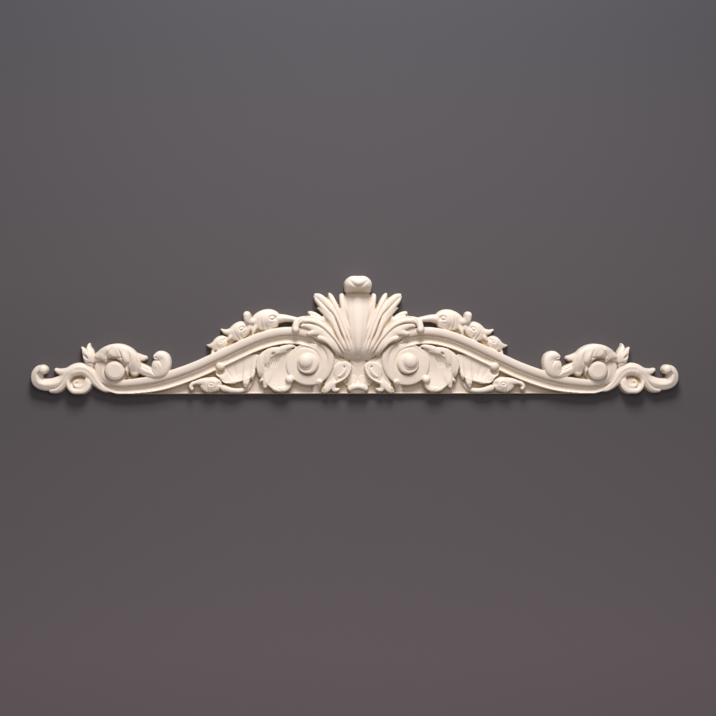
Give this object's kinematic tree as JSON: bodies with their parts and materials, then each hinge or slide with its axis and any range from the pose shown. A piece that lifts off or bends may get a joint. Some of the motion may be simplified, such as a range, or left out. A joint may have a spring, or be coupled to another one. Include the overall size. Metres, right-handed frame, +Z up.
{
  "type": "carved overlay",
  "caption": "Long symmetrical scrollwork overlay with a central palmette, moulded bands, acanthus leaves, husks and end scrolls; fixed flat to a wall, door head or mantel.",
  "frame": {"origin": "on the flat back face, on the centre line at half height, behind the central leaf", "axes": "+X along the length, +Y out of the back into the wall, +Z up; the carving stands out towards -Y"},
  "size_m": [1, 0.036, 0.1826],
  "materials": {
    "overlay": "unpainted cast resin, warm cream, matt, a little yellower in the deep hollows"
  },
  "bodies": {
    "root": {"overlay": "overlay"}
  },
  "joints": []
}
